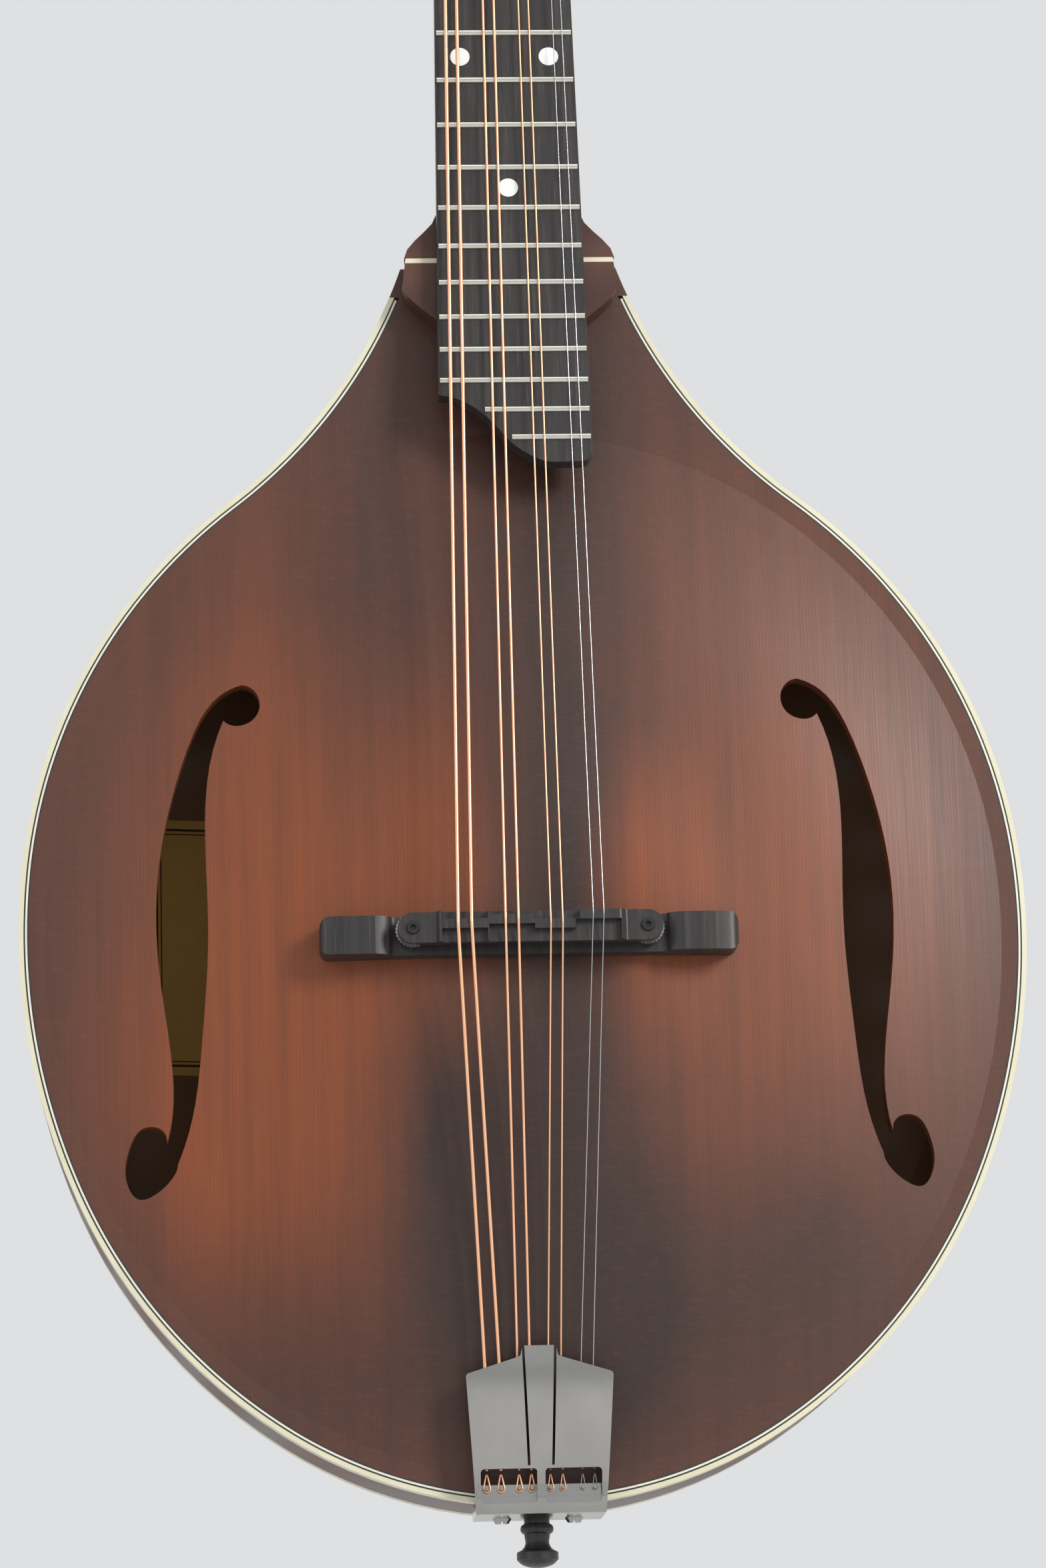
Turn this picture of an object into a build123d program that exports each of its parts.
from build123d import *

import os
from math import cos, radians, sin

os.makedirs("parts", exist_ok=True)

# ---------------------------------------------------------------------------
# Frame: +Z runs up the neck, the soundboard faces -Y and the treble side is +X.
# The origin is on the end pin's axis, where it meets the rim.
# ---------------------------------------------------------------------------

# Body
RIM_DEPTH = 46.0            # from the front edge of the rim to its back edge
BODY_LENGTH = 401.0
HALF_FRONT = RIM_DEPTH / 2
PLATE_EDGE = 4.5            # thickness of both carved plates at their edge
PLATE_MIDDLE = 4.0          # and inside the recurve
SIDE_WALL = 2.5
ARCH_CENTRE = 172.0         # height of the arches' highest point
FRONT_ARCH = 16.5
BACK_ARCH = 14.0
PIN_NECK = 4.0              # radius of the end pin where it enters the rim
PIN_HEAD = 6.5
HOLLOW = 0.93               # where the carved hollow starts, as a share of the outline

# Half of the outline as tangent arcs, from the tail to the neck end: (radius, turn in degrees)
OUTLINE_ARCS = [(143.3, 33.2), (171.8, 33.0), (207.5, 29.2), (173.9, 46.9), (169.5, -33.1)]
# The arch: how far in (share of the outline) and how high there (share of the arch)
ARCH_STEPS = [(0.985, -0.06), (0.95, 0.0), (0.87, 0.14), (0.74, 0.41), (0.55, 0.7), (0.33, 0.91),
              (0.12, 0.99), (0.03, 1.0)]

# Edge strips
BINDING_WIDTH = 1.5
BINDING_DEPTH = 6.5
PURFLING_DEPTH = 1.2
PURFLING_EDGES = [BINDING_WIDTH, 2.0, 2.6, 3.0]   # insets between black, white and black
BINDING_END = 391.0         # height at which the body binding stops under the riser cap

# Neck, fingerboard and strings
SCALE = 568.0
FRET_COUNT = 22
BRIDGE_HEIGHT = 178.0       # height of the saddle's line above the tail
NECK_ANGLE = 3.64
BOARD_RISE = 29.7           # fingerboard's plane in front of the rim's plane, at the saddle
BOARD_THICK = 6.0
NUT_HALF = 19.0
BOARD_TAPER = 0.0134
HEAD_ANGLE = 14.0
HEAD_DROP = 4.5             # headstock's face below the fingerboard's face
HEAD_THICK = 15.0
VENEER = 2.0
NUT_THICK = 5.0

STRING_AT_BRIDGE = [-22.6, -18.4, -7.9, -3.9, 6.1, 9.8, 19.3, 22.6]
STRING_AT_NUT = [-15.8, -12.6, -5.6, -2.4, 4.1, 7.0, 13.2, 15.8]
STRING_SIZE = [1.17, 1.17, 0.86, 0.86, 0.56, 0.56, 0.3, 0.3]
WOUND_STRINGS = 6
SADDLE_RISE = 33.3          # saddle's crest in front of the rim's plane

# Tuners, four on each side
TUNER_FIRST = 42.0
TUNER_PITCH = 23.0
POST_ACROSS = 20.0
POST_RADIUS = 3.1
GEAR_RADIUS = 6.3
WORM_RADIUS = 2.6

FRONT = Plane.XZ.offset(HALF_FRONT)


def tilted(origin, angle):
    """Plane whose local y runs up the instrument, leaning back by the angle."""
    lean = radians(angle)
    return Plane(origin=origin, x_dir=(1, 0, 0), z_dir=(0, -cos(lean), sin(lean)))


BOARD = tilted((0, -HALF_FRONT - BOARD_RISE, BRIDGE_HEIGHT), NECK_ANGLE)
NUT_BACK = SCALE + NUT_THICK
HEAD = tilted(BOARD.from_local_coords((0, NUT_BACK, -HEAD_DROP)), NECK_ANGLE + HEAD_ANGLE)


def save(builder, label):
    """Label the piece and write its STEP file."""
    builder.part.label = label
    export_step(builder.part, f"parts/{label}.step")


def lifted(plane, height):
    return plane.offset(height)


def along_neck(x, y, z):
    """Plane across the neck, facing the headstock, through a place on the board's plane."""
    return Plane(origin=BOARD.from_local_coords((x, y, z)), x_dir=(1, 0, 0), z_dir=tuple(BOARD.y_dir))


# ---------------------------------------------------------------------------
# Body outline, insets and carved arches
# ---------------------------------------------------------------------------


def body_face(size=1.0):
    """Closed outline, shrunk by size towards the arch's centre."""
    with BuildSketch() as outline:
        with BuildLine():
            ends = []
            for side in (1, -1):
                point = Vector(0, ARCH_CENTRE * (1 - size))
                heading = Vector(side, 0)
                for radius, turn in OUTLINE_ARCS:
                    stretch = JernArc(point, heading, radius * size, side * turn)
                    point = stretch @ 1
                    heading = stretch % 1
                ends.append(point)
            Line(*ends)
        make_face()
    return outline.sketch


BODY_FACE = body_face()


def inset(amount):
    """Body outline moved inwards by a constant amount."""
    return offset(BODY_FACE, amount=-amount, kind=Kind.INTERSECTION)


INSETS = {edge: inset(edge) for edge in PURFLING_EDGES + [SIDE_WALL, SIDE_WALL + 5.5]}
INSETS[0.0] = BODY_FACE


def arch_face(size):
    """Outline without its corners at the neck, closed there by one tangent arc."""
    with BuildSketch() as outline:
        with BuildLine():
            ends = []
            for side in (1, -1):
                point = Vector(0, ARCH_CENTRE * (1 - size))
                heading = Vector(side, 0)
                for radius, turn in OUTLINE_ARCS[:-1]:
                    stretch = JernArc(point, heading, radius * size, side * turn)
                    point = stretch @ 1
                    heading = stretch % 1
                ends.append((point, heading))
            TangentArc(ends[0][0], ends[1][0], tangent=ends[0][1])
        make_face()
    return outline.sketch


def arch(base, rise, direction, start=1.0):
    """Carved arch: a loft of shrinking outlines above the base depth."""
    with BuildPart() as solid:
        for size, share in ARCH_STEPS:
            with BuildSketch(Plane.XZ.offset(direction * (base + rise * share))):
                add(arch_face(size * start))
        loft()
    return solid.part


def edge_strip(outer, inner, near, far, top):
    """Strip along the body's edge between two insets and two depths, stopping at a height."""
    with BuildPart() as strip:
        with BuildSketch(Plane.XZ.offset(near)):
            add(INSETS[outer])
            add(INSETS[inner], mode=Mode.SUBTRACT)
            with Locations((0, top + BODY_LENGTH / 2)):
                Rectangle(BODY_LENGTH, BODY_LENGTH, mode=Mode.SUBTRACT)
        extrude(amount=far - near)
    return strip.part


front_arch = arch(HALF_FRONT, FRONT_ARCH, 1)
front_hollow = arch(HALF_FRONT - PLATE_EDGE, FRONT_ARCH + PLATE_EDGE - PLATE_MIDDLE, 1, HOLLOW)
back_arch = arch(HALF_FRONT, BACK_ARCH, -1)
back_hollow = arch(HALF_FRONT - PLATE_EDGE, BACK_ARCH + PLATE_EDGE - PLATE_MIDDLE, -1, HOLLOW)
front_binding = edge_strip(0.0, BINDING_WIDTH, HALF_FRONT, HALF_FRONT - BINDING_DEPTH, BINDING_END)
rear_binding = edge_strip(0.0, BINDING_WIDTH, BINDING_DEPTH - HALF_FRONT, -HALF_FRONT, BODY_LENGTH - 2)
purfling_lines = [
    edge_strip(outer, inner, HALF_FRONT, HALF_FRONT - PURFLING_DEPTH, BINDING_END)
    for outer, inner in zip(PURFLING_EDGES, PURFLING_EDGES[1:])
]

# ---------------------------------------------------------------------------
# Soundboard and its f-holes
# ---------------------------------------------------------------------------

F_OUTER = [(88.5, 81.6), (97.5, 76.5), (104.5, 64.5), (110, 48), (114.4, 28), (116.1, 6), (114.8, -14),
           (111.9, -36), (111.2, -52), (113.2, -64)]
F_LOWER_EYE = [(113.2, -64), (115.6, -59.6), (120.5, -59.3), (125.4, -66.5), (126.1, -75), (122.3, -81.2),
               (116.2, -79.4), (110, -71)]
F_INNER = [(110, -71), (105.3, -57), (102, -33), (99.8, 0), (100.4, 30), (99, 54), (94.3, 70)]
F_UPPER_EYE = [(94.3, 70), (89.8, 68), (84.3, 70.5), (82.8, 76), (85.2, 80.3), (88.5, 81.6)]


def f_hole(side):
    """One f-hole's outline on the bass (-1) or treble (+1) side."""
    with BuildSketch() as hole:
        with BuildLine():
            for stretch in (F_OUTER, F_LOWER_EYE, F_INNER, F_UPPER_EYE):
                Spline(*[(side * x, BRIDGE_HEIGHT + z) for x, z in stretch])
        make_face()
    return hole.sketch


with BuildPart() as soundboard:
    with BuildSketch(Plane.XZ.offset(HALF_FRONT - PLATE_EDGE)):
        add(BODY_FACE)
    extrude(amount=PLATE_EDGE)
    add(front_arch)
    add(front_hollow, mode=Mode.SUBTRACT)
    add(front_binding, mode=Mode.SUBTRACT)
    add(purfling_lines, mode=Mode.SUBTRACT)
    with BuildSketch(Plane.XZ.offset(HALF_FRONT - PLATE_EDGE)):
        add(f_hole(1))
        add(f_hole(-1))
    extrude(amount=2 * FRONT_ARCH, mode=Mode.SUBTRACT)
save(soundboard, "soundboard")

with BuildPart() as back_plate:
    with BuildSketch(Plane.XZ.offset(-HALF_FRONT)):
        add(BODY_FACE)
    extrude(amount=PLATE_EDGE)
    add(back_arch)
    add(back_hollow, mode=Mode.SUBTRACT)
    add(rear_binding, mode=Mode.SUBTRACT)
save(back_plate, "back_plate")

# The neck's dovetail tenon, which the rim and the neck block are cut for
TENON_DEEP = 16.0
TENON_ROOT = (20, 32)
TENON_END = (26, 32)
with BuildPart() as tenon:
    for height, size in ((BODY_LENGTH, TENON_ROOT), (BODY_LENGTH - TENON_DEEP, TENON_END)):
        with BuildSketch(Plane.XY.offset(height)):
            with Locations((0, 2)):
                Rectangle(*size)
    loft()

with BuildPart() as rim:
    with BuildSketch(Plane.XZ.offset(PLATE_EDGE - HALF_FRONT)):
        add(BODY_FACE)
        add(INSETS[SIDE_WALL], mode=Mode.SUBTRACT)
    extrude(amount=RIM_DEPTH - 2 * PLATE_EDGE)
    add(front_binding, mode=Mode.SUBTRACT)
    add(rear_binding, mode=Mode.SUBTRACT)
    with Locations(Plane.XY):
        Hole(radius=PIN_NECK, depth=2 * SIDE_WALL)
    add(tenon.part, mode=Mode.SUBTRACT)
save(rim, "rim")

with BuildPart() as back_binding:
    add(rear_binding)
save(back_binding, "back_binding")

with BuildPart() as purfling:
    add(purfling_lines)
save(purfling, "purfling")

LINING_DEPTH = 7.0
with BuildPart() as rim_linings:
    for near in (HALF_FRONT - PLATE_EDGE, PLATE_EDGE - HALF_FRONT + LINING_DEPTH):
        with BuildSketch(Plane.XZ.offset(near)):
            add(INSETS[SIDE_WALL])
            add(INSETS[SIDE_WALL + 5.5], mode=Mode.SUBTRACT)
            with Locations((0, 0)):
                Rectangle(60, 70, mode=Mode.SUBTRACT)
            with Locations((0, BODY_LENGTH)):
                Rectangle(76, 110, mode=Mode.SUBTRACT)
        extrude(amount=-LINING_DEPTH)
save(rim_linings, "rim_linings")

BLOCK_DEPTH = RIM_DEPTH - 2 * PLATE_EDGE
with BuildPart() as neck_block:
    with BuildSketch(Plane.XZ.offset(PLATE_EDGE - HALF_FRONT)):
        add(INSETS[SIDE_WALL])
        with Locations((0, BODY_LENGTH - 25)):
            Rectangle(74, 50, mode=Mode.INTERSECT)
    extrude(amount=BLOCK_DEPTH)
    add(tenon.part, mode=Mode.SUBTRACT)
save(neck_block, "neck_block")

with BuildPart() as tail_block:
    with BuildSketch(Plane.XZ.offset(PLATE_EDGE - HALF_FRONT)):
        add(INSETS[SIDE_WALL])
        with Locations((0, 13)):
            Rectangle(58, 26, mode=Mode.INTERSECT)
    extrude(amount=BLOCK_DEPTH)
    with Locations(Plane.XY):
        Hole(radius=PIN_NECK, depth=40)
save(tail_block, "tail_block")

BAR_DEEP = 9.0
with BuildPart() as tone_bars:
    for side, angle in ((-1, 3), (1, -3)):
        with Locations(Location((side * 27, -HALF_FRONT, BRIDGE_HEIGHT + 5), (0, angle, 0))):
            Box(6.5, 3 * FRONT_ARCH, 236)
    add(front_hollow, mode=Mode.INTERSECT)
    add(front_hollow.moved(Location((0, BAR_DEEP, 0))), mode=Mode.SUBTRACT)
save(tone_bars, "tone_bars")

LABEL_THICK = 0.3
with BuildPart() as label:
    with Locations((-88, HALF_FRONT, BRIDGE_HEIGHT + 8)):
        Box(64, 2 * HALF_FRONT, 84)
    add(back_hollow, mode=Mode.INTERSECT)
    add(back_hollow.moved(Location((0, -LABEL_THICK, 0))), mode=Mode.SUBTRACT)
save(label, "label")

# ---------------------------------------------------------------------------
# Fingerboard, frets, dots and nut, drawn on the board's plane
# ---------------------------------------------------------------------------


def board_half(y):
    """Half width of the fingerboard at a distance from the saddle."""
    return NUT_HALF + (SCALE - y) * BOARD_TAPER


def fret_place(number):
    return SCALE * 2 ** (-number / 12)


BOARD_LEFT = 174.0
BOARD_RIGHT = 153.0
OGEE = [(-board_half(BOARD_LEFT), BOARD_LEFT), (-15.4, 171.2), (-7.4, 164.8), (-0.5, 156.8), (8, 151.6),
        (20, 151.0)]
with BuildPart() as fingerboard:
    with BuildSketch(lifted(BOARD, -BOARD_THICK)):
        with BuildLine():
            Line((-NUT_HALF, SCALE), OGEE[0])
            Spline(*OGEE, tangents=((1, -0.1), (1, 0)))
            corner = Spline(OGEE[-1], (board_half(BOARD_RIGHT), BOARD_RIGHT + 3), tangents=((1, 0), (0, 1)))
            Line(corner @ 1, (NUT_HALF, SCALE))
            Line((NUT_HALF, SCALE), (-NUT_HALF, SCALE))
        make_face()
    extrude(amount=BOARD_THICK)

# Fret 21 and 22 start beyond the curved end
FRET_LEFT_END = {21: -9.6, 22: -1.2}
FRET_HIGH = 1.0
FRET_WIDE = 2.0
TANG = 1.6
with BuildPart() as fret_wires:
    for number in range(1, FRET_COUNT + 1):
        y = fret_place(number)
        right = board_half(y) - 0.5
        left = FRET_LEFT_END.get(number, -right)
        middle = (left + right) / 2
        fret_end = BOARD.from_local_coords((left, y, 0))
        with BuildSketch(Plane(origin=fret_end, x_dir=tuple(BOARD.y_dir), z_dir=(1, 0, 0))):
            with BuildLine():
                ThreePointArc((-FRET_WIDE / 2, 0), (0, FRET_HIGH), (FRET_WIDE / 2, 0))
                Line((FRET_WIDE / 2, 0), (-FRET_WIDE / 2, 0))
            make_face()
            with Locations((0, -TANG / 2)):
                Rectangle(0.5, TANG)
        extrude(amount=right - left)
save(fret_wires, "fret_wires")

DOT_RADIUS = 3.2
DOT_THICK = 1.2
DOUBLE_AT = 14.5
SINGLE_DOTS = (3, 5, 7, 10, 15)
with BuildPart() as position_dots:
    for number in SINGLE_DOTS + (12,):
        y = (fret_place(number) + fret_place(number - 1)) / 2
        across = [-DOUBLE_AT, DOUBLE_AT] if number == 12 else [0]
        with BuildSketch(lifted(BOARD, -DOT_THICK)):
            with Locations([(x, y) for x in across]):
                Circle(DOT_RADIUS)
        extrude(amount=DOT_THICK)
save(position_dots, "position_dots")

# ---------------------------------------------------------------------------
# Truss rod, neck and headstock
# ---------------------------------------------------------------------------
ROD_RADIUS = 2.5
ROD_LOW = -12.0
ROD_START = 314.0
rod_axis = along_neck(0, ROD_START, ROD_LOW)
ROD_LENGTH = NUT_BACK + 13 - ROD_START
with BuildPart() as truss_rod:
    with BuildSketch(rod_axis):
        Circle(ROD_RADIUS)
    extrude(amount=ROD_LENGTH)
save(truss_rod, "truss_rod")

ROD_NUT_START = NUT_BACK + 4.5
ROD_NUT_LENGTH = 7.0
with BuildPart() as truss_rod_nut:
    with BuildSketch(rod_axis.offset(ROD_NUT_START - ROD_START)):
        RegularPolygon(radius=3.9, side_count=6)
        Circle(ROD_RADIUS + 0.05, mode=Mode.SUBTRACT)
    extrude(amount=ROD_NUT_LENGTH)
save(truss_rod_nut, "truss_rod_nut")

# Heel: where its shoulders and its depth start, and how far they take to reach full size
SHOULDER = (240, 16, 10.8)      # start, length and extra half width
HEEL = (268, 50, 36)            # start, length and extra depth
NECK_DEEP = 21.0
NECK_TAPER = 0.009
NECK_STATIONS = [217, 224, 227, 230, 233, 236, 240, 244, 250, 256, 262, 268, 300, 430, NUT_BACK]
HEAD_LENGTH = 150.0
HEAD_START = 0.6
HEAD_HALF_OUTLINE = [(NUT_HALF, HEAD_START), (23, 6), (32.5, 22), (34.5, 34), (31.5, 80), (29.5, 118),
                     (27, 136)]


def swell(y, start, length, amount):
    """Smooth growth from nothing at the start to the full amount nearer the body."""
    share = min(max((start - y) / length, 0), 1)
    return amount * share * share * (3 - 2 * share)


def neck_section(y):
    """D-shaped section of the neck below the fingerboard."""
    low = -BOARD_THICK
    half = board_half(y) - 0.6 * (NUT_BACK - y) / NUT_BACK + swell(y, *SHOULDER)
    deep = NECK_DEEP + NECK_TAPER * (NUT_BACK - y) + swell(y, *HEEL)
    plane = Plane(origin=BOARD.from_local_coords((0, y, 0)), x_dir=(-1, 0, 0), z_dir=tuple(BOARD.y_dir))
    with BuildSketch(plane) as section:
        with BuildLine():
            Line((-half, low), (half, low))
            Spline((half, low), (half * 0.9, low - (deep + low) * 0.42), (0, -deep),
                   (-half * 0.9, low - (deep + low) * 0.42), (-half, low),
                   tangents=((0, -1), (0, 1)))
        make_face()
    return section.sketch


def head_outline():
    """Plain headstock outline with a softly pointed top."""
    with BuildSketch() as outline:
        with BuildLine():
            Line((-NUT_HALF, HEAD_START), (NUT_HALF, HEAD_START))
            for side in (1, -1):
                Spline(*[(side * x, y) for x, y in HEAD_HALF_OUTLINE])
                Spline((side * HEAD_HALF_OUTLINE[-1][0], HEAD_HALF_OUTLINE[-1][1]), (side * 15, 141),
                       (0, HEAD_LENGTH), tangents=((-side * 0.4, 1), (-side * 1, 0.35)))
        make_face()
    return outline.sketch


POST_PLACES = [
    (side * (POST_ACROSS - 0.6 * row), TUNER_FIRST + row * TUNER_PITCH)
    for side in (-1, 1)
    for row in range(4)
]
FERRULE_RADIUS = 4.5
ROD_POCKET = (11, 17)
ROD_CHANNEL = (2 * ROD_RADIUS, 14)
with BuildPart() as neck:
    loft([neck_section(station) for station in NECK_STATIONS], ruled=True)
    split(bisect_by=Plane.XY.offset(BODY_LENGTH), keep=Keep.TOP)
    with BuildSketch(lifted(HEAD, -HEAD_THICK)):
        add(head_outline())
    extrude(amount=HEAD_THICK - VENEER)
    with BuildSketch(rod_axis):
        with Locations((0, ROD_RADIUS - ROD_CHANNEL[1] / 2)):
            Rectangle(*ROD_CHANNEL)
    extrude(amount=ROD_LENGTH, mode=Mode.SUBTRACT)
    with BuildSketch(HEAD):
        with Locations((0, 1.0 + ROD_POCKET[1] / 2)):
            Rectangle(*ROD_POCKET)
    extrude(amount=-12, mode=Mode.SUBTRACT)
    add(tenon.part)
    with BuildSketch(HEAD):
        with Locations(POST_PLACES):
            Circle(FERRULE_RADIUS)
    extrude(amount=-2 * HEAD_THICK, mode=Mode.SUBTRACT)
save(neck, "neck")

with BuildPart() as headstock_veneer:
    with BuildSketch(lifted(HEAD, -VENEER)):
        add(head_outline())
        with Locations((0, 1.0 + ROD_POCKET[1] / 2)):
            Rectangle(*ROD_POCKET, mode=Mode.SUBTRACT)
        with Locations(POST_PLACES):
            Circle(FERRULE_RADIUS, mode=Mode.SUBTRACT)
    extrude(amount=VENEER)
save(headstock_veneer, "headstock_veneer")

with BuildPart() as cut_fingerboard:
    add(fingerboard.part)
    add(fret_wires.part, mode=Mode.SUBTRACT)
    add(position_dots.part, mode=Mode.SUBTRACT)
save(cut_fingerboard, "fingerboard")

NUT_RISE = 2.0
NUT_SLOT = 0.35
with BuildPart() as nut:
    with BuildSketch(lifted(BOARD, -BOARD_THICK)):
        with Locations((0, SCALE + NUT_THICK / 2)):
            Rectangle(2 * NUT_HALF, NUT_THICK)
    extrude(amount=BOARD_THICK + NUT_RISE)
    front_edges = nut.faces().sort_by(Axis((0, 0, 0), tuple(BOARD.z_dir)))[-1].edges()
    chamfer(front_edges.filter_by(Axis.X)[0:1], length=0.8)
    for x, size in zip(STRING_AT_NUT, STRING_SIZE):
        with BuildSketch(along_neck(x, SCALE - 1, NUT_RISE + size / 2 - NUT_SLOT)):
            Circle(size / 2 + 0.06)
        extrude(amount=NUT_THICK + 3, mode=Mode.SUBTRACT)
save(nut, "nut")

COVER_THICK = 1.6
with BuildPart() as truss_rod_cover:
    with BuildSketch(HEAD):
        with BuildLine():
            Line((-9, 0.6), (9, 0.6))
            for side in (1, -1):
                Spline((side * 9, 0.6), (side * 8.2, 9), (0, 26), tangents=((0, 1), (-side * 0.5, 1)))
        make_face()
    extrude(amount=COVER_THICK)
    with BuildSketch(lifted(HEAD, COVER_THICK)):
        with Locations((0, 21)):
            Circle(0.95)
    extrude(amount=-COVER_THICK, mode=Mode.SUBTRACT)
save(truss_rod_cover, "truss_rod_cover")

# ---------------------------------------------------------------------------
# Riser cap under the fingerboard's end, with its ivory strip
# ---------------------------------------------------------------------------
CAP_LOW = BRIDGE_HEIGHT + 193
CAP_HALF = 34.8
STRIP_THICK = 1.6             # ivory strip over the cap's upper end
with BuildPart() as cap_shape:
    with BuildSketch(Plane.XZ.offset(HALF_FRONT - 1)):
        with BuildLine():
            Line((-33.6, BODY_LENGTH), (33.6, BODY_LENGTH))
            for side in (1, -1):
                Line((side * 33.6, BODY_LENGTH), (side * CAP_HALF, BODY_LENGTH - 9))
                corner = (side * CAP_HALF, BODY_LENGTH - 9)
                Spline(corner, (side * 31.5, CAP_LOW + 15), (side * 22, CAP_LOW + 7), (0, CAP_LOW),
                       tangents=((-side * 0.1, -1), (-side, 0)))
        make_face()
    extrude(amount=60)
    split(bisect_by=lifted(BOARD, -BOARD_THICK), keep=Keep.BOTTOM)

with BuildPart() as riser_cap:
    add(cap_shape.part)
    add(soundboard.part, mode=Mode.SUBTRACT)
    add(front_hollow, mode=Mode.SUBTRACT)
    split(bisect_by=Plane.XY.offset(BODY_LENGTH - STRIP_THICK), keep=Keep.BOTTOM)
save(riser_cap, "riser_cap")

with BuildPart() as cap_strip:
    add(cap_shape.part)
    add(soundboard.part, mode=Mode.SUBTRACT)
    split(bisect_by=Plane.XY.offset(BODY_LENGTH - STRIP_THICK), keep=Keep.TOP)

with BuildPart() as bound_edge:
    add(front_binding)
    add(cap_shape.part, mode=Mode.SUBTRACT)
    add(cap_strip.part)
save(bound_edge, "top_binding")

# ---------------------------------------------------------------------------
# Bridge: base, posts, wheels and saddle
# ---------------------------------------------------------------------------
BASE_HALF = 65.2
BASE_DEEP = 12.0
BASE_LOW_EDGE = BRIDGE_HEIGHT - 9.5
BASE_MIDDLE = FRONT_ARCH + 6.0
BASE_END = FRONT_ARCH + 9.5
POST_X = 36.4
POST_Z = BRIDGE_HEIGHT - 2.5
BRIDGE_POST_RADIUS = 2.0
POST_TOP = SADDLE_RISE - 1.6
WHEEL_RADIUS = 5.4
WHEEL_THICK = 2.2
WHEEL_LOW = BASE_MIDDLE + 2.1
SADDLE_LOW = WHEEL_LOW + WHEEL_THICK + 0.05
SADDLE_HALF = 41.2
SADDLE_DEEP = 9.6


# Raised end of the base, from its tip to the thin middle: (distance across, height)
BASE_SHOULDER = [(BASE_HALF, BASE_END - 3.5), (61, BASE_END - 0.4), (48, BASE_END),
                 (43.5, BASE_MIDDLE + 1.5), (41, BASE_MIDDLE)]


def front(height):
    """Plane parallel to the soundboard's edge, a height in front of it."""
    return Plane.XZ.offset(HALF_FRONT + height)


def depth(height):
    """Y of a place a height in front of the rim's plane."""
    return -HALF_FRONT - height


with BuildPart() as bridge_base:
    with BuildSketch(Plane.XY.offset(BASE_LOW_EDGE)):
        with BuildLine():
            Line((BASE_HALF, depth(3)), (-BASE_HALF, depth(3)))
            for side in (1, -1):
                shoulder = [(side * x, depth(h)) for x, h in BASE_SHOULDER]
                Line((side * BASE_HALF, depth(3)), shoulder[0])
                Spline(*shoulder, tangents=((0, -1), (-side, 0)))
                Line(shoulder[-1], (0, depth(BASE_MIDDLE)))
        make_face()
    extrude(amount=BASE_DEEP)
    with BuildSketch(front(0)):
        with Locations((0, BASE_LOW_EDGE + BASE_DEEP / 2)):
            RectangleRounded(2 * BASE_HALF, BASE_DEEP, 3)
    extrude(amount=BASE_END, mode=Mode.INTERSECT)
    add(front_arch, mode=Mode.SUBTRACT)
    with BuildSketch(front(BASE_END)):
        with Locations((POST_X, POST_Z), (-POST_X, POST_Z)):
            Circle(BRIDGE_POST_RADIUS)
    extrude(amount=-8, mode=Mode.SUBTRACT)
save(bridge_base, "bridge_base")

POST_LOW = BASE_END - 8
SOCKET = 0.8
with BuildPart() as bridge_posts:
    with BuildSketch(front(POST_LOW)):
        with Locations((POST_X, POST_Z), (-POST_X, POST_Z)):
            Circle(BRIDGE_POST_RADIUS)
    extrude(amount=POST_TOP - POST_LOW)
    with BuildSketch(front(POST_TOP)):
        with Locations((POST_X, POST_Z), (-POST_X, POST_Z)):
            RegularPolygon(radius=1.0, side_count=6)
    extrude(amount=-SOCKET * 2, mode=Mode.SUBTRACT)
save(bridge_posts, "bridge_posts")

KNURLS = 28
for side, label_name in ((-1, "bridge_wheel_bass"), (1, "bridge_wheel_treble")):
    with BuildPart() as wheel:
        with BuildSketch(front(WHEEL_LOW)):
            with Locations((side * POST_X, POST_Z)):
                Circle(WHEEL_RADIUS)
                Circle(BRIDGE_POST_RADIUS + 0.1, mode=Mode.SUBTRACT)
                with PolarLocations(WHEEL_RADIUS, KNURLS):
                    Circle(0.28, mode=Mode.SUBTRACT)
        extrude(amount=WHEEL_THICK)
    save(wheel, label_name)

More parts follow.
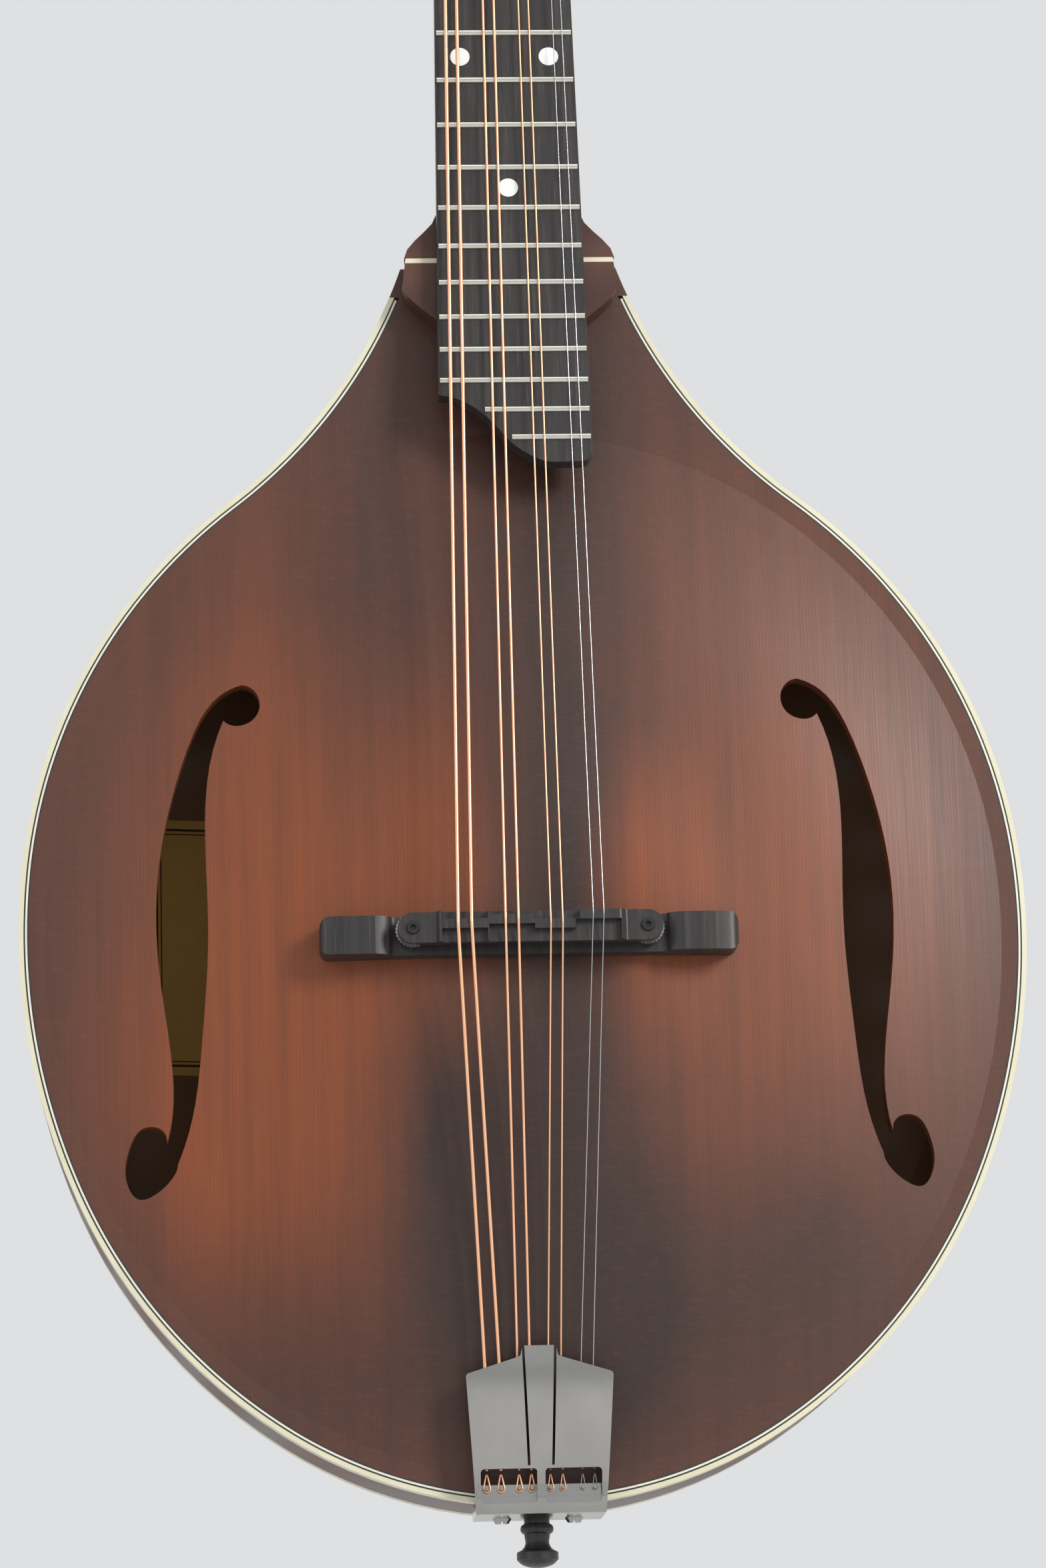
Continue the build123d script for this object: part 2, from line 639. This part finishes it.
# Distance of each course's crest from the scale line
COURSE_SHIFT = [-1.8, -0.6, -2.2, 0.6]
CREST_WIDE = 3.0
LOBE_TOP = SADDLE_RISE - 2.4
with BuildPart() as bridge_saddle:
    with BuildSketch(front(SADDLE_LOW)):
        with Locations((0, POST_Z)):
            SlotOverall(2 * SADDLE_HALF, SADDLE_DEEP)
    extrude(amount=LOBE_TOP - SADDLE_LOW)
    with BuildSketch(Plane.XY.offset(POST_Z - SADDLE_DEEP / 2)):
        with BuildLine():
            crest_edge = -HALF_FRONT - LOBE_TOP
            Line((30, crest_edge), (-30, crest_edge))
            for side in (1, -1):
                Spline((side * 30, crest_edge), (side * 27.5, crest_edge - (SADDLE_RISE - LOBE_TOP)),
                       tangents=((-side, -0.2), (-side, -0.1)))
            Line((27.5, -HALF_FRONT - SADDLE_RISE), (-27.5, -HALF_FRONT - SADDLE_RISE))
        make_face()
    extrude(amount=SADDLE_DEEP)
    # relief on both sides of each course's crest
    for index, shift in enumerate(COURSE_SHIFT):
        centre = (STRING_AT_BRIDGE[2 * index] + STRING_AT_BRIDGE[2 * index + 1]) / 2
        low = BRIDGE_HEIGHT + shift - CREST_WIDE / 2
        high = BRIDGE_HEIGHT + shift + CREST_WIDE / 2
        with BuildSketch(front(LOBE_TOP)):
            with Locations((centre, (high + POST_Z + SADDLE_DEEP / 2) / 2)):
                Rectangle(14.2, POST_Z + SADDLE_DEEP / 2 - high)
            with Locations((centre, (low + POST_Z - SADDLE_DEEP / 2) / 2)):
                Rectangle(14.2, low - POST_Z + SADDLE_DEEP / 2)
        extrude(amount=SADDLE_RISE - LOBE_TOP + 1, mode=Mode.SUBTRACT)
    # scooped underside between the lobes
    with BuildSketch(Plane.XY.offset(POST_Z - SADDLE_DEEP / 2)):
        with BuildLine():
            ThreePointArc((-29, -HALF_FRONT - SADDLE_LOW), (0, -HALF_FRONT - SADDLE_LOW - 1.4),
                          (29, -HALF_FRONT - SADDLE_LOW))
            Line((29, -HALF_FRONT - SADDLE_LOW), (-29, -HALF_FRONT - SADDLE_LOW))
        make_face()
    extrude(amount=SADDLE_DEEP, mode=Mode.SUBTRACT)
    with BuildSketch(front(SADDLE_LOW)):
        with Locations((POST_X, POST_Z), (-POST_X, POST_Z)):
            Circle(BRIDGE_POST_RADIUS + 0.1)
    extrude(amount=20, mode=Mode.SUBTRACT)
save(bridge_saddle, "bridge_saddle")

# ---------------------------------------------------------------------------
# Tailpiece, its hooks and screws, and the end pin
# ---------------------------------------------------------------------------
TAIL_TOP = BRIDGE_HEIGHT - 130.4
TAIL_SHELL = 2.4
TAIL_HALF = 23.0
TAIL_SKIRT = 22.0
TAIL_FACE = 2.6

# Upper line of the casting from its top edge to the tail: (height above the tail, height of the metal)
TAIL_LINE = [(TAIL_TOP, 15.0), (30, 13.6), (14, 10.8), (4, 7.2)]


def tail_profile(shell):
    """Side profile of the casting, wrapped over the body's end."""
    with BuildSketch() as profile:
        with BuildLine():
            outer = Spline(*[(depth(h), z) for z, h in TAIL_LINE], tangents=((0, -1), (1, -1.2)))
            inner = Spline(*[(depth(h - shell), z) for z, h in TAIL_LINE], tangents=((0, -1), (1, -1.2)))
            Line(outer @ 0, inner @ 0)
            bend = Spline(outer @ 1, (depth(2), -TAIL_FACE), tangents=((1, -1.2), (1, 0)))
            Line(bend @ 1, (depth(-TAIL_SKIRT), -TAIL_FACE))
            Line((depth(-TAIL_SKIRT), -TAIL_FACE), (depth(-TAIL_SKIRT), -0.2))
            Line((depth(-TAIL_SKIRT), -0.2), (depth(2), -0.2))
            Line((depth(2), -0.2), inner @ 1)
        make_face()
    return profile.sketch


def tail_front():
    """Front outline of the casting."""
    with BuildSketch() as outline:
        with BuildLine():
            Polyline((-5.2, TAIL_TOP), (5.2, TAIL_TOP), (5.8, TAIL_TOP - 3.2), (22.7, TAIL_TOP - 8.4),
                     (19.8, -2 * TAIL_FACE), (-19.8, -2 * TAIL_FACE), (-22.7, TAIL_TOP - 8.4),
                     (-5.8, TAIL_TOP - 3.2), close=True)
        make_face()
        fillet(outline.vertices().sort_by(Axis.Y)[-6:], radius=1.2)
    return outline.sketch


WINDOW_HALF = 8.7
WINDOW_X = 9.9
WINDOW_LOW = 0.4
WINDOW_HIGH = 10.6
TAIL_SCREW_X = 11.2
TAIL_SCREW_DEPTH = -7.5
with BuildPart() as tailpiece:
    with BuildSketch(Plane.YZ.offset(-TAIL_HALF)):
        add(tail_profile(TAIL_SHELL))
    extrude(amount=2 * TAIL_HALF)
    with BuildSketch(Plane.XZ.offset(-HALF_FRONT)):
        add(tail_front())
    extrude(amount=80, mode=Mode.INTERSECT)
    # two string windows and the two grooves beside the middle wedge
    with BuildSketch(Plane.XZ.offset(HALF_FRONT + 4)):
        window_middle = (WINDOW_LOW + WINDOW_HIGH) / 2
        with Locations((WINDOW_X, window_middle), (-WINDOW_X, window_middle)):
            RectangleRounded(2 * WINDOW_HALF, WINDOW_HIGH - WINDOW_LOW, 1.2)
    extrude(amount=20, mode=Mode.SUBTRACT)
    with BuildSketch(front(30)):
        for side in (1, -1):
            with BuildLine():
                Polyline((side * 4.6, TAIL_TOP + 1), (side * 5.4, TAIL_TOP + 1), (side * 4.1, 11.5),
                         (side * 3.3, 11.5), close=True)
            make_face()
    extrude(amount=-30, mode=Mode.SUBTRACT)
    # solid rails inside the shell, on which it stands
    with BuildSketch(Plane.XZ.offset(HALF_FRONT)):
        with Locations((0, 12)):
            Rectangle(2.6, 20)
        with Locations((19.3, 12), (-19.3, 12)):
            Rectangle(1.2, 20)
    extrude(amount=8.5)
    add(front_arch, mode=Mode.SUBTRACT)
    with BuildSketch(Plane.XY.offset(-2 * TAIL_FACE)):
        with Locations((0, 0)):
            Circle(4.1)
        with Locations((TAIL_SCREW_X, TAIL_SCREW_DEPTH), (-TAIL_SCREW_X, TAIL_SCREW_DEPTH)):
            Circle(1.7)
    extrude(amount=3 * TAIL_FACE, mode=Mode.SUBTRACT)
save(tailpiece, "tailpiece")

TAIL_STRING_X = [-16.6, -12.2, -6.6, -2.8, 3.0, 6.8, 12.9, 16.6]
HOOK_Z = 5.0
HOOK_HIGH = 6.6
HOOK_FOOT = 4.0
PEG_RADIUS = 0.6
with BuildPart() as tailpiece_hooks:
    for side in (1, -1):
        with Locations((side * WINDOW_X, depth(3.6), HOOK_Z - 0.5)):
            Box(2 * WINDOW_HALF - 0.2, 1.6, 3.4)
    for x in TAIL_STRING_X:
        with BuildSketch(front(HOOK_FOOT)):
            with Locations((x, HOOK_Z)):
                Circle(PEG_RADIUS)
        extrude(amount=HOOK_HIGH - HOOK_FOOT)
save(tailpiece_hooks, "tailpiece_hooks")

with BuildPart() as tailpiece_screws:
    for side in (1, -1):
        screw_place = (side * TAIL_SCREW_X, TAIL_SCREW_DEPTH, -TAIL_FACE)
        screw_plane = Plane(origin=screw_place, x_dir=(1, 0, 0), z_dir=(0, 0, -1))
        with BuildSketch(screw_plane):
            Circle(3.0)
        extrude(amount=1.4, taper=35)
        with BuildSketch(screw_plane):
            Circle(1.6)
        extrude(amount=-TAIL_FACE - 10)
with BuildPart() as screw_slots:
    for side in (1, -1):
        with Locations((side * TAIL_SCREW_X, TAIL_SCREW_DEPTH, -TAIL_FACE - 1.3)):
            Box(6, 0.7, 1.0)
            Box(0.7, 6, 1.0)
with BuildPart() as cross_screws:
    add(tailpiece_screws.part)
    add(screw_slots.part, mode=Mode.SUBTRACT)
save(cross_screws, "tailpiece_screws")

with BuildPart() as end_pin:
    with BuildSketch(Plane.XZ):
        with BuildLine():
            Line((0, 24), (3.4, 24))
            Line((3.4, 24), (PIN_NECK, -3.6))
            ThreePointArc((PIN_NECK, -3.6), (5.2, -5.2), (PIN_NECK, -6.8))
            Spline((PIN_NECK, -6.8), (3.7, -9), (6.2, -12.2), tangents=((0, -1), (1, -0.3)))
            Line((6.2, -12.2), (PIN_HEAD, -12.5))
            Line((PIN_HEAD, -12.5), (PIN_HEAD, -14.7))
            Line((PIN_HEAD, -14.7), (6.1, -15))
            Spline((6.1, -15), (3.5, -16.7), (0, -17.2), tangents=((-0.7, -1), (-1, 0)))
            Line((0, -17.2), (0, 24))
        make_face()
    revolve(axis=Axis.Z)
save(end_pin, "end_pin")

# ---------------------------------------------------------------------------
# Tuners: two plates with bearing ears, and eight sets of key, worm and post
# ---------------------------------------------------------------------------
PLATE_THICK = 1.2
GEAR_LOW = -HEAD_THICK - PLATE_THICK - 1.3
GEAR_THICK = 3.2
SHAFT_LEVEL = GEAR_LOW - GEAR_THICK / 2
SHAFT_DROP = GEAR_RADIUS + WORM_RADIUS + 0.15
SHAFT_RADIUS = 1.6
EAR_GAP = 0.05
EAR_HIGH = -HEAD_THICK - PLATE_THICK / 2 - SHAFT_LEVEL
EAR_THICK = 1.4
EAR_AT = 5.2
BUTTON_AT = 43.0
BUTTON_LONG = 15.0
BUTTON_WIDE = 17.0
BUTTON_THICK = 7.0
POST_RISE = 10.0
TUNER_GEAR_TEETH = 16
PLATE_LOW = TUNER_FIRST - 17
PLATE_HIGH = TUNER_FIRST + 3 * TUNER_PITCH + 14


def head_point(x, y, z):
    return HEAD.from_local_coords((x, y, z))


def head_plane(x, y, z):
    """Plane parallel to the headstock's face through a place."""
    return Plane(origin=head_point(x, y, z), x_dir=(1, 0, 0), z_dir=tuple(HEAD.z_dir))


def side_plane(x, y, z):
    """Plane facing out along +X through a place on the headstock."""
    return Plane(origin=head_point(x, y, z), x_dir=tuple(HEAD.y_dir), z_dir=(1, 0, 0))


def shaft_plane(x, y):
    """Plane across a key's shaft, facing out along +X."""
    return side_plane(x, y, SHAFT_LEVEL)


for side, name in ((-1, "bass"), (1, "treble")):
    places = [place for place in POST_PLACES if place[0] * side > 0]
    with BuildPart() as plate:
        with BuildSketch(lifted(HEAD, -HEAD_THICK)):
            with Locations((side * (POST_ACROSS + 0.5), (PLATE_LOW + PLATE_HIGH) / 2)):
                RectangleRounded(14, PLATE_HIGH - PLATE_LOW, 4)
            with Locations([(side * (POST_ACROSS + 0.5), y) for y in (PLATE_LOW + 3, PLATE_HIGH - 3)]):
                Circle(1.4, mode=Mode.SUBTRACT)
            with Locations(places):
                Circle(POST_RADIUS + 0.1, mode=Mode.SUBTRACT)
        extrude(amount=-PLATE_THICK)
        for x, y in places:
            for start in (x - EAR_AT - EAR_THICK, x + EAR_AT):
                with BuildSketch(shaft_plane(start, y - SHAFT_DROP)):
                    Circle(3.2)
                    with Locations((0, EAR_HIGH / 2)):
                        Rectangle(6.4, EAR_HIGH)
                    Circle(SHAFT_RADIUS + EAR_GAP, mode=Mode.SUBTRACT)
                extrude(amount=EAR_THICK)
    save(plate, f"tuner_plate_{name}")

SCREW_HEAD = 2.4
with BuildPart() as headstock_screws:
    for side in (-1, 1):
        for y in (PLATE_LOW + 3, PLATE_HIGH - 3):
            with BuildSketch(lifted(HEAD, -HEAD_THICK - PLATE_THICK)):
                with Locations((side * (POST_ACROSS + 0.5), y)):
                    Circle(SCREW_HEAD)
            extrude(amount=-1.1, taper=30)
            with BuildSketch(lifted(HEAD, -HEAD_THICK - PLATE_THICK)):
                with Locations((side * (POST_ACROSS + 0.5), y)):
                    Circle(1.3)
            extrude(amount=PLATE_THICK + 7)
    with BuildSketch(lifted(HEAD, COVER_THICK)):
        with Locations((0, 21)):
            Circle(SCREW_HEAD - 0.6)
    extrude(amount=0.9, taper=25)
    with BuildSketch(lifted(HEAD, COVER_THICK)):
        with Locations((0, 21)):
            Circle(0.9)
    extrude(amount=-7)
save(headstock_screws, "headstock_screws")

with BuildPart() as tuner_ferrules:
    for x, y in POST_PLACES:
        with BuildSketch(lifted(HEAD, -6)):
            with Locations((x, y)):
                Circle(FERRULE_RADIUS)
                Circle(POST_RADIUS + 0.1, mode=Mode.SUBTRACT)
        extrude(amount=6)
        with BuildSketch(HEAD):
            with Locations((x, y)):
                Circle(FERRULE_RADIUS + 1.2)
                Circle(POST_RADIUS + 0.1, mode=Mode.SUBTRACT)
        extrude(amount=1.2, taper=12)
save(tuner_ferrules, "tuner_ferrules")

for index, (x, y) in enumerate(POST_PLACES, start=1):
    side = 1 if x > 0 else -1
    with BuildPart() as post:
        with BuildSketch(head_plane(x, y, GEAR_LOW)):
            Circle(POST_RADIUS)
        extrude(amount=POST_RISE - GEAR_LOW)
        chamfer(post.edges().sort_by(Axis((0, 0, 0), tuple(HEAD.z_dir)))[-1], length=0.6)
        with BuildSketch(head_plane(x, y, GEAR_LOW)):
            Circle(GEAR_RADIUS)
            with PolarLocations(GEAR_RADIUS + 0.1, TUNER_GEAR_TEETH):
                Circle(0.55, mode=Mode.SUBTRACT)
        extrude(amount=-GEAR_THICK)
        with BuildSketch(head_plane(x, y, GEAR_LOW - GEAR_THICK)):
            Circle(2.6)
        extrude(amount=-1.6, taper=15)
        with BuildSketch(side_plane(x - 2 * POST_RADIUS, y, POST_RISE - 4)):
            Circle(0.8)
        extrude(amount=4 * POST_RADIUS, mode=Mode.SUBTRACT)
    save(post, f"tuner_post_{index}")

    inner_end = abs(x) - EAR_AT - EAR_THICK - 1.2
    with BuildPart() as shaft:
        with BuildSketch(shaft_plane(side * inner_end, y - SHAFT_DROP)):
            Circle(SHAFT_RADIUS)
        extrude(amount=side * (BUTTON_AT + 8 - inner_end))
        with BuildSketch(shaft_plane(side * (abs(x) - EAR_AT + 0.1), y - SHAFT_DROP)):
            Circle(WORM_RADIUS)
        extrude(amount=side * (2 * EAR_AT - 0.2))
        with BuildSketch(shaft_plane(side * (BUTTON_AT - 2.4), y - SHAFT_DROP)):
            Circle(2.6)
        extrude(amount=side * 2.4)
    save(shaft, f"tuner_shaft_{index}")

    with BuildPart() as button:
        with BuildSketch(shaft_plane(side * (BUTTON_AT + BUTTON_LONG / 2), y - SHAFT_DROP)):
            SlotOverall(BUTTON_WIDE, BUTTON_THICK)
        extrude(amount=BUTTON_LONG / 2, both=True)
        with BuildSketch(head_plane(side * (BUTTON_AT + BUTTON_LONG / 2), y - SHAFT_DROP, SHAFT_LEVEL)):
            Ellipse(BUTTON_LONG / 2, BUTTON_WIDE / 2)
        extrude(amount=BUTTON_THICK, both=True, mode=Mode.INTERSECT)
        with BuildSketch(shaft_plane(side * (BUTTON_AT - 1), y - SHAFT_DROP)):
            Circle(SHAFT_RADIUS)
        extrude(amount=side * 9, mode=Mode.SUBTRACT)
    save(button, f"tuner_button_{index}")

# ---------------------------------------------------------------------------
# Strings: loop round its hook, bend under the casting's edge, saddle, nut and post
# ---------------------------------------------------------------------------
STRING_CLEAR = 0.05
UNDER_CASTING = 0.5
CREST_CLEAR = 0.35          # a string's bend is above the crest by what it falls over half its width
WRAP_LEVEL = 5.0
HOOK_LEVEL = 5.4
# Each string's post: bass strings take the bass posts in order, treble strings the treble posts
STRING_POST = [0, 1, 2, 3, 7, 6, 5, 4]


def casting_edge(x):
    """Height of the casting's top edge over a string."""
    beyond = max(0, abs(x) - 5.8)
    return TAIL_TOP - (3.2 + 0.31 * beyond if beyond else 0)


def string_solid(index):
    """One whole string, from its loop to its turn round the post."""
    radius = STRING_SIZE[index] / 2
    tail_x = TAIL_STRING_X[index]
    post_x, post_y = POST_PLACES[STRING_POST[index]]
    side = 1 if post_x > 0 else -1
    turn = POST_RADIUS + radius + STRING_CLEAR
    loop = PEG_RADIUS + radius + STRING_CLEAR
    crest = BRIDGE_HEIGHT + COURSE_SHIFT[index // 2]

    def on_loop(angle):
        return (tail_x + loop * cos(radians(angle)), depth(HOOK_LEVEL), HOOK_Z + loop * sin(radians(angle)))

    def on_post(angle):
        across = post_x - side * turn * cos(radians(angle))
        return head_point(across, post_y + turn * sin(radians(angle)), WRAP_LEVEL)

    tail_edge = depth(TAIL_LINE[0][1] - TAIL_SHELL - radius - UNDER_CASTING)
    with BuildPart() as string:
        with BuildLine() as route:
            ThreePointArc(on_loop(90), on_loop(-45), on_loop(180))
            Polyline(
                on_loop(180),
                (tail_x - loop, tail_edge, casting_edge(tail_x)),
                (STRING_AT_BRIDGE[index], depth(SADDLE_RISE + radius + CREST_CLEAR), crest),
                BOARD.from_local_coords((STRING_AT_NUT[index], NUT_BACK, NUT_RISE + radius - NUT_SLOT)),
                on_post(0),
            )
            ThreePointArc(on_post(0), on_post(135), on_post(270))
        with BuildSketch(Plane(origin=on_loop(90), z_dir=(1, 0, 0))):
            Circle(radius)
        sweep(path=route.wires()[0], transition=Transition.TRANSFORMED)
    return string.part


with BuildPart() as strings_wound:
    add([string_solid(index) for index in range(WOUND_STRINGS)])
save(strings_wound, "strings_wound")

with BuildPart() as strings_plain:
    add([string_solid(index) for index in range(WOUND_STRINGS, len(STRING_SIZE))])
save(strings_plain, "strings_plain")
